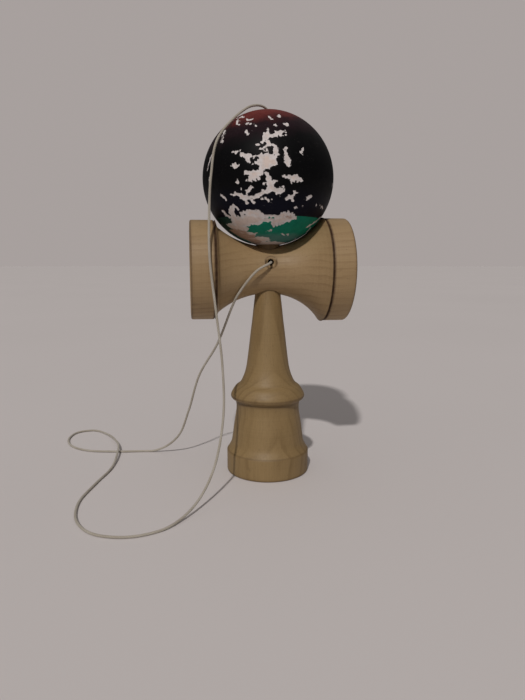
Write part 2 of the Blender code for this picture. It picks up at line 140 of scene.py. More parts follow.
# Chips in the ball's paint, each a stroke of (longitude, latitude, half width) in degrees,
# longitude 0 facing -Y and growing towards +X
CHIPS = [
    # near the top
    [(-52, 56, 0.9), (-48.5, 54.5, 1.4), (-44.5, 52.3, 0.9)],
    [(-58, 54.3, 0.7), (-52, 51.3, 0.9), (-48.7, 47.3, 0.9), (-45.3, 42.7, 1.3), (-41.4, 41.2, 0.8)],
    [(-47.6, 48.4, 0.5), (-44, 46, 0.6)],
    [(-60, 37.5, 1.4), (-57.5, 33, 1.6), (-56.3, 27.5, 1.6), (-54, 25.4, 0.8)],
    [(-34.6, 47.4, 0.5), (-32.8, 46.4, 0.7)],
    [(-30.3, 46.9, 0.6), (-28.6, 46.1, 0.8), (-26.6, 47.3, 0.6)],
    [(-30.8, 42, 1.1), (-30.6, 41, 1.2)],
    [(-26.8, 40.9, 0.8), (-23, 39.2, 0.9), (-20.8, 37.6, 0.9)],
    [(-29.5, 32.8, 0.9), (-28.8, 31, 1.2), (-27.4, 29.6, 1), (-25.3, 31.2, 1), (-23.6, 31.8, 0.6)],
    [(-7.8, 49.9, 0.6), (-6.3, 48.2, 0.8), (-4.8, 46.2, 0.6)],
    [(6.9, 54.2, 0.6), (5.9, 51.5, 0.8), (4.9, 49.3, 0.6)],
    [(-0.9, 38.4, 0.8), (-0.6, 36.6, 0.7), (-0.6, 35.3, 0.3)],
    [(8.6, 40.5, 1), (10.6, 40.2, 1.7), (12.8, 42, 0.5)],
    [(10.3, 39.2, 1.1), (10.4, 37.9, 0.5)],
    # the upper cross
    [(-8, 35.4, 0.3), (-8.1, 32.6, 0.7), (-8.6, 29.5, 1.6), (-9, 27, 2.2),
     (-10, 24.5, 2.1), (-9, 21.5, 1.8), (-8, 19.8, 1.2)],
    [(-11.3, 29, 1), (-12, 24, 1.6), (-12.3, 21.6, 1.2), (-14.8, 20.4, 0.9), (-18, 19.7, 0.5)],
    [(-7, 27, 1.6), (-3.5, 28.6, 1.4), (0, 29.8, 2), (3, 31, 1.7), (5.5, 32.3, 1.2), (8.6, 31, 0.7)],
    [(-3.5, 27.6, 1.2), (1.5, 27.4, 0.7), (5, 27.7, 0.6), (7, 28.7, 0.5)],
    [(-6.5, 25.5, 1.2), (-4.6, 25, 0.9)],
    [(-14.2, 16, 0.6), (-12.6, 15.6, 1), (-10.3, 17.4, 0.9), (-8.8, 19, 1.1)],
    [(-12.3, 15, 0.8), (-10.4, 14, 0.8), (-9, 14.8, 1.1)],
    [(-4.8, 19.1, 0.4), (-2.8, 17.5, 1.2), (-1.9, 15.2, 2), (-2.4, 13.6, 1.9), (-1.2, 11.6, 1.1)],
    [(6.9, 16.8, 0.7), (5, 15.6, 1.1), (5.6, 13, 0.9), (6.4, 10.8, 1.6),
     (6.2, 8.2, 2.4), (7.2, 5, 1.9), (8.4, 2.5, 0.8)],
    [(8.6, 9.5, 0.6), (9, 6, 0.6)],
    [(7.2, 4, 1), (6.3, 1.9, 0.4)],
    [(22.4, 18.8, 0.3), (21.2, 16.8, 0.6), (20, 14.6, 0.8), (19.6, 12.5, 1)],
    # upper left arm
    [(-38.9, 14.8, 0.5), (-35.5, 14.3, 1), (-32.4, 15.3, 1.1),
     (-31.3, 12.8, 1.4), (-28.5, 11.2, 1.7), (-25.2, 10.4, 2.2)],
    [(-25, 13, 0.8), (-24.5, 8.5, 2), (-23.4, 5.2, 0.9)],
    [(-24, 9.6, 1.5), (-20.5, 10, 1), (-17.5, 10.2, 1), (-14, 9.6, 1.8)],
    # the middle
    [(-14, 8.3, 2.4), (-9.6, 6.6, 5), (-5.5, 6, 4)],
    [(-13.9, 12.3, 0.6), (-13.2, 10, 1.4), (-8.5, 10.6, 1.5), (-3.6, 9.6, 1.8)],
    [(-19.8, 4.5, 0.5), (-16.5, 5, 1), (-13, 4, 2.6), (-9, 2.6, 3)],
    [(-4.2, 3.4, 2), (-2.2, 3, 1), (-6, 2.4, 1.6)],
    [(-12.5, 1.5, 2.2), (-14.6, -2.5, 2.6), (-19.5, -3.4, 3),
     (-22.6, -2.4, 2.2), (-26.6, -2.4, 1.3), (-27.6, -3.6, 0.7)],
    [(-19.5, -5.6, 2.8), (-22.8, -7, 2), (-26.2, -8.5, 0.9)],
    [(-17, -5.5, 2), (-16, -8, 1)],
    [(-37.4, 4.2, 1.1), (-37.2, 2.2, 0.9), (-34.8, 2.8, 1.1), (-32.4, 3.8, 1)],
    [(-40, 3.5, 0.5), (-38, 3.6, 0.7)],
    [(-33, -7, 0.5), (-33, -8.7, 1.3)],
    # stem and lower band
    [(-10.2, -1.5, 1), (-9.2, -4.5, 1.1), (-8, -8, 1.9),
     (-7, -11.5, 2.5), (-6.6, -14.5, 2.8), (-9.5, -16.6, 1.8)],
    [(-5.2, -9.7, 0.8), (-2.3, -8.7, 0.8)],
    [(-5, -14.6, 2.2), (-2, -16.6, 2), (1.6, -16.8, 2.4), (2.6, -15.2, 2.3), (1.6, -19, 1.2)],
    [(-11.6, -11.2, 0.6), (-11.2, -11.5, 0.5)],
    [(-10, -16.6, 1.7), (-13.4, -18.2, 1.6), (-17, -19.6, 1.7),
     (-20.5, -20.8, 1.3), (-24, -21, 1.5), (-28, -21.8, 2.3)],
    [(-28, -21.5, 2.3), (-32, -20, 2), (-35.8, -18.2, 1.6), (-39.4, -18.3, 1.1), (-43, -18.2, 0.3)],
    [(-31.2, -13.6, 0.2), (-31.1, -15.6, 0.6), (-31.6, -19, 0.9)],
    [(-29, -22.5, 1.9), (-26.4, -25.8, 0.9)],
    [(-23, -22.4, 1.3), (-21, -25.7, 0.6)],
    [(-26.4, -17.6, 0.8), (-25.6, -15.9, 1.4), (-23.4, -14.4, 1.4), (-20.9, -13.3, 0.6)],
    [(-26.7, -19.5, 0.8), (-26.6, -17.5, 0.8)],
    [(-13.6, -22.2, 0.8), (-11.6, -21.4, 0.8), (-9.6, -22.8, 1.1), (-7, -24.6, 1.4), (-5, -26, 0.9)],
    [(-5.2, -23, 0.6), (-5.2, -26, 0.9)],
    # right of the middle
    [(2.2, -5.6, 0.3), (5.4, -6, 1.1), (8.6, -5.8, 1.5), (11.4, -6.4, 2.7),
     (14.8, -6.2, 2.5), (17.4, -7, 2), (19.4, -8, 1)],
    [(10.8, -8, 1), (10.8, -9.7, 0.7)],
    [(5.8, -21.6, 0.6), (7.6, -22, 1.6), (10, -21, 1.6), (12.4, -21.8, 2), (13.8, -23.4, 1.3)],
    [(12.6, -20.2, 1.5), (14.2, -17.6, 1.4), (16.8, -16.6, 0.9)],
    [(26.6, -20.6, 1.2), (28.6, -20.8, 1.8), (31.2, -19.6, 1.5)],
    [(42, -24.8, 1), (42.5, -25.6, 0.8)],
    [(49, -25.7, 0.4), (53, -26, 1.1), (56, -26.8, 1.2), (59.4, -27.8, 0.5)],
    [(18.2, -29.3, 1.2), (18.8, -29.6, 0.9)],
    [(24.8, -27.1, 0.8), (25.4, -27.5, 0.6)],
    [(-53.2, -17.8, 0.5), (-51, -19.6, 0.8), (-49, -21.6, 0.4)],
    # lower left, down to bare wood
    [(-40.8, -25.6, 0.3), (-41.4, -28.2, 1.6), (-44.6, -29.6, 1.6), (-47.8, -31.4, 2), (-49.8, -34.4, 1.6)],
    [(-38.8, -28.6, 1), (-38, -30.6, 1)],
    [(-58, -31.6, 1.2), (-56.5, -34.4, 2), (-52, -37, 1.4)],
    [(-46.4, -33.6, 3), (-47, -37, 3.4), (-43, -39, 3.4), (-38, -38.6, 3.4)],
    [(-37.2, -34.6, 1.6), (-33, -35.6, 3.2), (-28.6, -34.6, 3.4),
     (-24, -34.2, 3.2), (-20.4, -34.6, 3), (-16, -36, 2.6)],
    [(-16.6, -34, 1.4), (-13.8, -35.6, 1.1), (-13.4, -38.4, 1.6)],
    [(-46, -43, 5), (-36, -42.4, 5), (-27, -40.6, 5.2), (-19.6, -40.6, 4.6),
     (-13, -41.2, 2.4), (-7, -41.2, 1.8), (-2, -41.4, 2)],
    [(-66, -45, 2), (-58, -47, 4), (-50, -49, 5), (-42.4, -50, 4.4), (-38.4, -49.4, 3)],
    [(-80, -54, 4), (-66, -55, 5), (-54, -56, 5.6), (-44, -56.6, 5), (-36.4, -57.4, 3.2)],
    [(-80, -66, 7), (-62, -66, 7), (-46, -66, 7), (-33, -66.6, 6), (-21, -67.2, 4.8), (-11, -67.6, 3.2)],
    [(-32, -57.6, 1.6), (-28, -56.4, 1.2), (-24.6, -55.8, 0.6)],
    [(-26, -62, 1.6), (-17, -62.6, 1), (-8, -64, 0.6)],
    [(-80, -76, 6), (-40, -76, 6), (-12, -75.6, 5.4), (10, -76, 5.6), (35, -76.4, 4.6), (60, -77, 4.6)],
    # lower right, and scratches in the green
    [(11.6, -30.8, 0.3), (11.8, -33, 1.2), (11.4, -35.6, 2.2)],
    [(0.4, -38.8, 1.6), (2.6, -37.8, 2), (5.6, -36.8, 2.6),
     (10, -35.8, 2.8), (14.6, -36.4, 2.6), (18.8, -36.4, 1.3)],
    [(-1.6, -43.6, 3.2), (2, -42, 4), (7, -40.8, 4.2), (12, -39.8, 3.8), (17, -39, 3), (21.4, -38.8, 1.6)],
    [(-1.8, -47.8, 0.5), (-0.4, -45.6, 1.8), (7.4, -44.6, 0.8)],
    [(-15, -37.2, 1.4), (-10, -37.7, 1.5), (-4, -37.5, 1.5), (0, -37.4, 1.4)],
    [(-10.4, -54.8, 0.4), (-7, -54, 0.8), (-4.6, -53, 1)],
    [(13, -56.4, 0.4), (18, -58, 0.6), (22, -59.8, 0.4)],
    [(20, -60, 0.4), (24, -57.6, 0.9), (27.4, -58.6, 0.4)],
    [(50.4, -47.6, 0.9), (53, -45.6, 1.2), (57, -43.4, 1.3),
     (62.5, -40, 1.5), (67, -36.5, 1.3), (72, -34.5, 1)],
    [(61, -46.4, 0.8), (63.4, -47.6, 1.2), (67, -51, 1.1), (74, -51.6, 0.6)],
    [(46.6, -74.6, 0.8), (56, -73, 0.3)],
    [(58, -63, 0.5), (68, -64, 0.8), (78, -64.6, 0.6)],
    [(66, -4.4, 0.5), (67.4, -6.4, 0.8), (68, -8.4, 0.4)],
    # left edge
    [(-65.6, 16.4, 0.5), (-67.2, 13.6, 1.1), (-68.2, 10.8, 1.2), (-69.4, 7.6, 0.8), (-70.2, 4.6, 0.5)],
    [(-66.6, -2.4, 0.5), (-67, -5.6, 0.7)],
]  # fmt: skip

# Paint left standing inside the chips
ISLETS = [
    [(-21.8, 4.4, 0.3), (-20.4, 6.2, 0.8), (-18, 7.4, 0.8), (-16.8, 8, 0.3)],
    [(-20, 2.6, 0.8), (-18, 1.8, 1), (-16.6, 1.4, 0.7)],
    [(-25.8, -4.4, 0.8), (-25.2, -6, 1.2)],
    [(-24.6, -24.8, 0.8), (-24.4, -23.4, 0.5)],
    [(-41, -32, 1.2), (-40.4, -34, 1.9), (-38.4, -36, 1.2)],
    [(-43, -33.6, 0.6), (-42, -36.6, 0.8)],
    [(-33, -35.4, 0.7), (-31.9, -35.2, 0.6)],
    [(-10.6, 14.9, 0.3), (-10.2, 15.2, 0.3)],
    [(-40, -53.4, 0.4), (-36, -52.6, 0.7), (-32, -51.4, 0.8)],
    [(-88, -36.6, 1.5), (-88, -44.2, 5), (-87, -51.7, 7),
     (-85, -59.1, 8), (-82, -66.3, 7.5), (-76, -72.9, 5)],
]  # fmt: skip

# Strokes where the chip goes through the primer to bare wood
BARE = [
    [(-84, -50, 3), (-66, -52, 3.4), (-52, -53.6, 3), (-44, -55, 2)],
    [(-84, -58, 6), (-62, -59, 6), (-48, -60, 5), (-38, -61, 3.6)],
    [(-84, -70, 6), (-60, -70, 6.4), (-44, -70, 5.4), (-34, -70, 3)],
    [(9, -38, 0.6), (12, -37.6, 0.8), (16, -38.4, 0.5)],
]  # fmt: skip

# Paint bands by latitude
GREEN_TOP = -36.4
NAVY_TOP = -9.0
RED_LOW = 41.0
RED_FULL = 66.0
RED_LEAN_TO_LIGHT = 0.16  # how far the red cap leans towards -X, the side the lamp lights: painted light


# ---------------------------------------------------------------- shapes


def between(points, steps):
    """A smooth curve through points, with this many steps between each two (centripetal Catmull-Rom)."""
    route = [Vector(p) for p in points]
    route = [2 * route[0] - route[1], *route, 2 * route[-1] - route[-2]]
    line = []
    for a, b, c, d in zip(route, route[1:], route[2:], route[3:]):
        ta = math.sqrt((b - a).length)
        tb = ta + math.sqrt((c - b).length)
        tc = tb + math.sqrt((d - c).length)
        for i in range(steps):
            t = ta + (tb - ta) * i / steps
            ab = a.lerp(b, t / ta)
            bc = b.lerp(c, (t - ta) / (tb - ta))
            cd = c.lerp(d, (t - tb) / (tc - tb))
            line.append(ab.lerp(bc, t / tb).lerp(bc.lerp(cd, (t - ta) / (tc - ta)), (t - ta) / (tb - ta)))
    return [*line, Vector(points[-1])]


def even(line, spacing):
    """The same line with points an even distance apart."""
    line = np.array(line, float)
    along = np.r_[0, np.cumsum(np.linalg.norm(np.diff(line, axis=0), axis=1))]
    spots = np.linspace(0, along[-1], max(2, round(along[-1] / spacing) + 1))
    return np.stack([np.interp(spots, along, line[:, k]) for k in range(line.shape[1])], axis=1)


def smooth(points, spacing):
    """A smooth outline through (radius, height) points."""
    line = between([(r, 0, z) for r, z in points], 12)
    return even([(p.x, p.z) for p in line], spacing)


def arc(centre, radius, first, last, spacing):
    """Points on an arc in the (radius, height) plane, angles from the +radius axis."""
    steps = max(3, round(abs(math.radians(last - first)) * radius / spacing))
    turn = np.radians(np.linspace(first, last, steps + 1))
    return np.stack([centre[0] + radius * np.cos(turn), centre[1] + radius * np.sin(turn)], axis=1)


def chain(*runs):
    """Outline runs joined into one, without repeating the points where they meet."""
    points = np.vstack([np.array(run, float).reshape(-1, 2) for run in runs])
    keep = np.r_[True, np.linalg.norm(np.diff(points, axis=0), axis=1) > 0.004]
    return points[keep]


def mesh_piece(name, points, faces):
    """An object with a smooth mesh, from points in millimetres."""
    mesh = bpy.data.meshes.new(name)
    mesh.from_pydata((np.array(points, float) * MM).tolist(), [], faces)
    mesh.shade_smooth()
    piece = bpy.data.objects.new(name, mesh)
    bpy.context.scene.collection.objects.link(piece)
    return piece


def turned(name, outline, sides, closed=False):
    """A lathe mesh about Z from an outline that runs down its outer side; its ends may lie on the axis."""
    turn = np.linspace(0, 2 * math.pi, sides, endpoint=False)
    points, rings = [], []
    for radius, height in outline:
        if radius < 1e-6:
            rings.append([len(points)] * sides)
            points.append((0, 0, height))
        else:
            rings.append(list(range(len(points), len(points) + sides)))
            points.extend(zip(radius * np.cos(turn), radius * np.sin(turn), [height] * sides))
    pairs = list(zip(rings, rings[1:]))
    if closed:
        pairs.append((rings[-1], rings[0]))
    faces = []
    for upper, lower in pairs:
        for i in range(sides):
            corners = [upper[i], lower[i], lower[i - sides + 1], upper[i - sides + 1]]
            faces.append(list(dict.fromkeys(corners)))
    return mesh_piece(name, points, faces)


def points_of(piece):
    """A piece's vertices in millimetres."""
    flat = np.empty(len(piece.data.vertices) * 3)
    piece.data.vertices.foreach_get("co", flat)
    return flat.reshape(-1, 3) / MM


def set_points(piece, points):
    piece.data.vertices.foreach_set("co", (points * MM).ravel())
    piece.data.update()


def normals_of(piece):
    flat = np.empty(len(piece.data.vertices) * 3)
    piece.data.vertices.foreach_get("normal", flat)
    return flat.reshape(-1, 3)


def mark(piece, name, values):
    """Stores a number for each vertex, for the material to read."""
    piece.data.attributes.new(name, "FLOAT", "POINT").data.foreach_set("value", values.astype(np.float32))


def ease(values, low, high):
    """0 below low, 1 above high, smooth between."""
    t = np.clip((values - low) / (high - low), 0, 1)
    return t * t * (3 - 2 * t)


def near(values, middle, width):
    """A bell curve: 1 at middle, a third this width away from it."""
    return np.exp(-(((values - middle) / width) ** 2))


def lumps(points, size, seed=0.0):
    """Smooth noise from -1 to 1 at points, with features of this size."""
    shift = Vector((seed, 1.7 * seed, 2.3 * seed))
    return np.array([noise.noise(Vector(p) / size + shift) for p in points])


def cut(piece, cutter):
    """Takes the cutter out of the piece, with the exact solver."""
    boolean = piece.modifiers.new("cut", "BOOLEAN")
    boolean.operation = "DIFFERENCE"
    boolean.solver = "EXACT"
    boolean.object = cutter
    bpy.context.view_layer.update()
    mesh = bpy.data.meshes.new_from_object(piece.evaluated_get(bpy.context.evaluated_depsgraph_get()))
    piece.modifiers.clear()
    piece.data = mesh
    mesh.shade_smooth()
    bpy.data.objects.remove(cutter, do_unlink=True)


def drill(outline, towards_front=False, height=0.0):
    """A turned cutter about Z, or about -Y at this height."""
    cutter = turned("cutter", outline, 48)
    if towards_front:
        points = points_of(cutter)
        set_points(cutter, np.stack([points[:, 0], -points[:, 2], points[:, 1] + height], axis=1))
    return cutter


def dents(piece, spots, seed):
    """Presses small round dents in along the normals, at spots of (centre, radius, depth), and adds a
    slight unevenness."""
    points = points_of(piece)
    normals = normals_of(piece)
    pressed = np.zeros(len(points))
    for centre, radius, depth in spots:
        away = np.linalg.norm(points - np.array(centre), axis=1)
        pressed = np.maximum(pressed, depth * (1 - ease(away, 0.2 * radius, radius)))
    wander = 0.02 * lumps(points, 9.0, seed)
    set_points(piece, points + normals * (wander - pressed)[:, None])


def tube(name, line, sides, relief=None):
    """A tube along a line, its ends closed; relief gives its radius by length along and angle round."""
    line = np.array(line, float)
    count = len(line)
    ahead = np.gradient(line, axis=0)
    ahead /= np.linalg.norm(ahead, axis=1)[:, None]
    side = np.cross(ahead[0], (0.3, 0.5, 0.8))
    frames = []
    for direction in ahead:
        side = side - direction * side.dot(direction)
        side /= np.linalg.norm(side)
        frames.append(side)
    across = np.array(frames)
    up = np.cross(ahead, across)
    along = np.r_[0, np.cumsum(np.linalg.norm(np.diff(line, axis=0), axis=1))]
    turn = np.linspace(0, 2 * math.pi, sides, endpoint=False)
    radius = relief(along[:, None], turn[None, :]) if relief else np.full((count, sides), CORD_R)
    ring = across[:, None, :] * np.cos(turn)[None, :, None] + up[:, None, :] * np.sin(turn)[None, :, None]
    points = (line[:, None, :] + radius[:, :, None] * ring).reshape(-1, 3)
    points = np.vstack([points, line[0], line[-1]])
    faces = []
    for k in range(count - 1):
        for i in range(sides):
            j = (i + 1) % sides
            faces.append((k * sides + i, k * sides + j, (k + 1) * sides + j, (k + 1) * sides + i))
    last = (count - 1) * sides
    for i in range(sides):
        j = (i + 1) % sides
        faces.append((count * sides, j, i))
        faces.append((count * sides + 1, last + i, last + j))
    return mesh_piece(name, points, faces)


# ---------------------------------------------------------------- materials


class Finish:
    """A Principled material, with short calls that add nodes. A value is a number, a colour or a socket."""

    def __init__(self, name):
        self.material = bpy.data.materials.new(name)
        self.material.use_nodes = True
        self.tree = self.material.node_tree
        self.shader = self.tree.nodes["Principled BSDF"]

    def put(self, socket, value):
        if isinstance(value, bpy.types.NodeSocket):
            self.tree.links.new(value, socket)
        elif socket.type == "RGBA":
            socket.default_value = (*value, 1.0)
        else:
            socket.default_value = value

    def set(self, **values):
        """Sets the shader's own inputs, with _ for a space."""
        for name, value in values.items():
            self.put(self.shader.inputs[name.replace("_", " ")], value)

    def node(self, kind, inputs, out=0, **settings):
        made = self.tree.nodes.new("ShaderNode" + kind)
        for name, value in settings.items():
            setattr(made, name, value)
        for key, value in inputs.items():
            self.put(made.inputs[key], value)
        return made.outputs[out]

    def math(self, operation, a, b=0.0, clamp=False):
        return self.node("Math", {0: a, 1: b}, operation=operation, use_clamp=clamp)

    def scaled(self, vector, factors):
        return self.node("VectorMath", {0: vector, 1: factors}, operation="MULTIPLY")

    def noise(self, vector, scale, detail=3.0, roughness=0.5):
        inputs = {"Vector": vector, "Scale": scale, "Detail": detail, "Roughness": roughness}
        return self.node("TexNoise", inputs)

    def mix(self, amount, a, b, blend="MIX"):
        return self.node("Mix", {0: amount, 6: a, 7: b}, out=2, data_type="RGBA", blend_type=blend)

    def ease(self, value, low, high, first=0.0, last=1.0):
        inputs = {"Value": value, "From Min": low, "From Max": high, "To Min": first, "To Max": last}
        return self.node("MapRange", inputs, interpolation_type="SMOOTHSTEP")

    def ramp(self, value, stops):
        made = self.tree.nodes.new("ShaderNodeValToRGB")
        self.put(made.inputs[0], value)
        elements = made.color_ramp.elements
        while len(elements) < len(stops):
            elements.new(0.5)
        for element, (position, colour) in zip(elements, stops):
            element.position = position
            element.color = (*colour, 1.0)
        return made.outputs[0]

    def attribute(self, name):
        return self.node("Attribute", {}, out="Fac", attribute_name=name)

    def bump(self, height, depth, strength=1.0, under=None):
        """A bump whose full height is depth millimetres."""
        inputs = {"Height": height, "Distance": depth * MM, "Strength": strength}
        if under:
            inputs["Normal"] = under
        return self.node("Bump", inputs)


def wood(name, turned_about, pith, light, dark, burnt_and_shade):
    """Pale hardwood, its grain along the axis that it was turned about; pith is the tree's centre."""
    f = Finish(name)
    apart = f.node("SeparateXYZ", {0: f.node("TexCoord", {}, out="Object")}).node
    x, y, z = apart.outputs
    order = (y, z, x) if turned_about == "X" else (x, y, z)
    spot = f.scaled(f.node("CombineXYZ", dict(enumerate(order))), (1000, 1000, 1000))

    # growth rings: distance from the pith, which leans a little, bent by slow noise
    slow = f.noise(f.scaled(spot, (1, 1, 0.25)), 0.045, 2.0)
    local = f.node("SeparateXYZ", {0: spot}).node.outputs
    rx = f.math("ADD", f.math("MULTIPLY", local[2], 0.035), f.math("SUBTRACT", local[0], pith[0]))
    ry = f.math("ADD", f.math("MULTIPLY", local[2], -0.05), f.math("SUBTRACT", local[1], pith[1]))
    reach = f.math("SQRT", f.math("ADD", f.math("MULTIPLY", rx, rx), f.math("MULTIPLY", ry, ry)))
    reach = f.math("ADD", reach, f.math("MULTIPLY", slow, 9.0))
    ring = f.math("FRACT", f.math("MULTIPLY", reach, 0.33))
    late = f.ramp(ring, [(0.0, (0.1,) * 3), (0.55, (0.25,) * 3), (0.9, (1,) * 3), (1.0, (0.1,) * 3)])
    strength = f.ease(f.noise(spot, 0.05, 1.0), 0.3, 0.7, 0.25, 1.0)

    streaks = f.noise(f.scaled(spot, (1.6, 1.6, 0.05)), 1.0, 4.0, 0.6)
    fine = f.noise(f.scaled(spot, (5, 5, 0.35)), 1.0, 2.0, 0.6)
    flecks = f.ease(f.noise(f.scaled(spot, (3.2, 3.2, 0.55)), 1.0, 1.0), 0.66, 0.78)
    clouds = f.noise(f.scaled(spot, (1, 1, 0.4)), 0.07, 2.0)
    tool = f.noise(f.scaled(spot, (0, 0, 1)), 1.3, 3.0)

    rings = f.math("MULTIPLY", late, strength)
    shade = f.math("ADD", f.math("MULTIPLY", rings, 0.34), f.math("MULTIPLY", streaks, 0.42))
    shade = f.math("ADD", shade, f.math("MULTIPLY", clouds, 0.42))
    shade = f.math("ADD", shade, f.math("MULTIPLY", f.math("SUBTRACT", tool, 0.5), 0.3))
    shade = f.math("ADD", shade, f.math("MULTIPLY", f.math("SUBTRACT", fine, 0.5), 0.2))
    colour = f.mix(f.ease(shade, 0.2, 0.95), light, dark)
    colour = f.mix(f.math("MULTIPLY", flecks, 0.35), colour, burnt_and_shade)

    # burnt lines, wear and painted shade, stored for each vertex, darken the wood towards the burnt colour
    grime_and_shade = f.attribute("grime_and_shade")
    grime_and_shade_smear = f.math("MULTIPLY", grime_and_shade, f.ease(f.noise(spot, 0.5, 3.0, 0.6), 0.25, 0.6, 0.75, 1.0), clamp=True)
    colour = f.mix(grime_and_shade_smear, colour, burnt_and_shade)
    darkening = f.attribute("dent")
    colour = f.mix(f.math("MULTIPLY", darkening, 0.5, clamp=True), colour, burnt_and_shade)

    roughness = f.math("ADD", f.math("MULTIPLY", streaks, 0.18), 0.5)
    roughness = f.math("ADD", roughness, f.math("MULTIPLY", grime_and_shade_smear, 0.15))
    normal = f.bump(f.math("ADD", fine, f.math("MULTIPLY", tool, 0.8)), 0.03, 0.5)
    f.set(Base_Color=colour, Roughness=roughness, Normal=normal, IOR=1.45)
    f.set(Coat_Weight=0.06, Coat_Roughness=0.4)
    return f.material


def ball_finish():
    """Spray-painted bands over white primer and pale wood, chipped by play. Attribute chip is the distance
    inside a chip in millimetres, bare is how far the primer is gone, inside is 1 in the bore."""
    f = Finish("ball_paint")
    place = f.node("TexCoord", {}, out="Object")
    spot = f.scaled(place, (1000, 1000, 1000))
    height = f.node("SeparateXYZ", {0: spot}).node.outputs[2]
    level = f.math("DIVIDE", f.math("SUBTRACT", height, BALL_Z), BALL_R)
    soft = f.math("MULTIPLY", f.math("SUBTRACT", f.noise(spot, 0.09, 3.0), 0.5), 0.08)
    drift = f.math("ADD", level, soft)

    def at(latitude):
        return math.sin(math.radians(latitude))

    black = (0.002, 0.002, 0.0026)
    navy = (0.0035, 0.0038, 0.0105)
    red = (0.14, 0.021, 0.017)
    plum = (0.014, 0.005, 0.008)
    green = (0.006, 0.19, 0.12)
    sea = (0.065, 0.18, 0.155)
    # the dark bands, with the red cap sprayed over them in a ragged cloud; its lean towards the lit -X side
    # is painted light
    colour = f.mix(f.ease(drift, at(NAVY_TOP), at(-30)), black, navy)
    across = f.math("MULTIPLY", f.node("SeparateXYZ", {0: spot}).node.outputs[0], -RED_LEAN_TO_LIGHT / BALL_R)
    cloud = f.math("MULTIPLY", f.math("SUBTRACT", f.noise(spot, 0.2, 4.0, 0.6), 0.5), 0.22)
    cap = f.math("ADD", f.math("ADD", level, across), cloud)
    colour = f.mix(f.ease(cap, at(24), at(RED_LOW)), colour, plum)
    colour = f.mix(f.ease(cap, at(RED_LOW), at(RED_FULL)), colour, red)

    # the green band, greyer below and nearly black at its -X end
    leafy = f.mix(f.ease(drift, at(-54), at(-60)), green, sea)
    uneven = f.math("SUBTRACT", f.noise(spot, 0.5, 4.0, 0.7), 0.5)
    left = f.math("ADD", across, f.math("MULTIPLY", uneven, 0.12))
    leafy = f.mix(f.ease(left, 0.072, 0.09, 0.0, 0.88), leafy, (0.018, 0.029, 0.026))
    edge = f.math("ADD", level, f.math("MULTIPLY", f.math("SUBTRACT", f.noise(spot, 0.6, 2.0), 0.5), 0.006))
    colour = f.mix(f.ease(edge, at(GREEN_TOP) - 0.006, at(GREEN_TOP) + 0.002), leafy, colour)
    mottle = f.noise(spot, 0.35, 4.0, 0.6)
    half = f.mix(1.0, colour, (0.5, 0.5, 0.5), "MULTIPLY")
    colour = f.mix(f.ease(mottle, 0.35, 0.75, 0.0, 0.35), colour, half)

    # hairline scratches in the paint
    scratch = f.noise(f.scaled(spot, (0.5, 0.9, 6.0)), 1.0, 2.0, 0.7)
    scratch = f.math("MULTIPLY", f.ease(scratch, 0.68, 0.72), f.ease(f.noise(spot, 0.12, 1.0), 0.45, 0.6))
    colour = f.mix(f.math("MULTIPLY", scratch, 0.25), colour, (0.3, 0.28, 0.27))

    # chips: primer, then raw wood where they are deep
    ragged = f.math("SUBTRACT", f.noise(spot, 1.7, 3.0, 0.6), 0.5)
    depth = f.math("ADD", f.attribute("chip"), f.math("MULTIPLY", ragged, 1.1))
    gone = f.ease(depth, -0.03, 0.05)
    primer = f.mix(f.ease(f.noise(spot, 0.5, 3.0), 0.35, 0.65), (0.70, 0.655, 0.65), (0.61, 0.565, 0.555))
    grain = f.noise(f.scaled(spot, (3, 3, 0.25)), 1.0, 3.0, 0.6)
    under = f.mix(grain, (0.74, 0.62, 0.56), (0.60, 0.47, 0.40))
    opened = f.ease(f.math("ADD", depth, f.math("MULTIPLY", f.noise(spot, 0.35, 3.0), 1.6)), 1.3, 2.6)
    base = f.mix(f.math("MULTIPLY", opened, 0.75), primer, under)
    timber = f.mix(f.ease(grain, 0.3, 0.7), (0.50, 0.35, 0.285), (0.30, 0.19, 0.14))
    bare = f.ease(f.math("ADD", f.attribute("bare"), f.math("MULTIPLY", ragged, 1.6)), -0.8, 1.0, 0.0, 0.92)
    base = f.mix(bare, base, timber)
    # painted shade: bared primer and wood grow darker towards the ball's underside
    underside_shade = f.ease(level, at(-40), at(-62))
    base = f.mix(f.math("MULTIPLY", underside_shade, 0.5), base, f.mix(1.0, base, (0.62, 0.6, 0.56), "MULTIPLY"))
    dirt = f.ease(f.noise(spot, 0.9, 4.0, 0.7), 0.45, 0.8, 0.0, 0.3)
    base = f.mix(dirt, base, (0.25, 0.2, 0.17))
    colour = f.mix(gone, colour, base)

    hollow = f.attribute("inside")
    # painted shade: the wood inside the bore is coloured darker than the bared wood outside
    darkening = f.mix(grain, (0.20, 0.12, 0.075), (0.12, 0.07, 0.045))
    colour = f.mix(hollow, colour, darkening)
    shine = f.math("ADD", f.math("MULTIPLY", mottle, 0.12), 0.46)
    matt = f.math("MAXIMUM", gone, hollow)
    roughness = f.math("ADD", shine, f.math("MULTIPLY", matt, 0.25))
    relief = f.bump(f.math("MULTIPLY", gone, -1.0), 0.05, 0.6)
    relief = f.bump(f.noise(spot, 1.4, 3.0), 0.02, 0.35, relief)
    f.set(Base_Color=colour, Roughness=roughness, Normal=relief, IOR=1.45, Specular_IOR_Level=0.1)
    return f.material


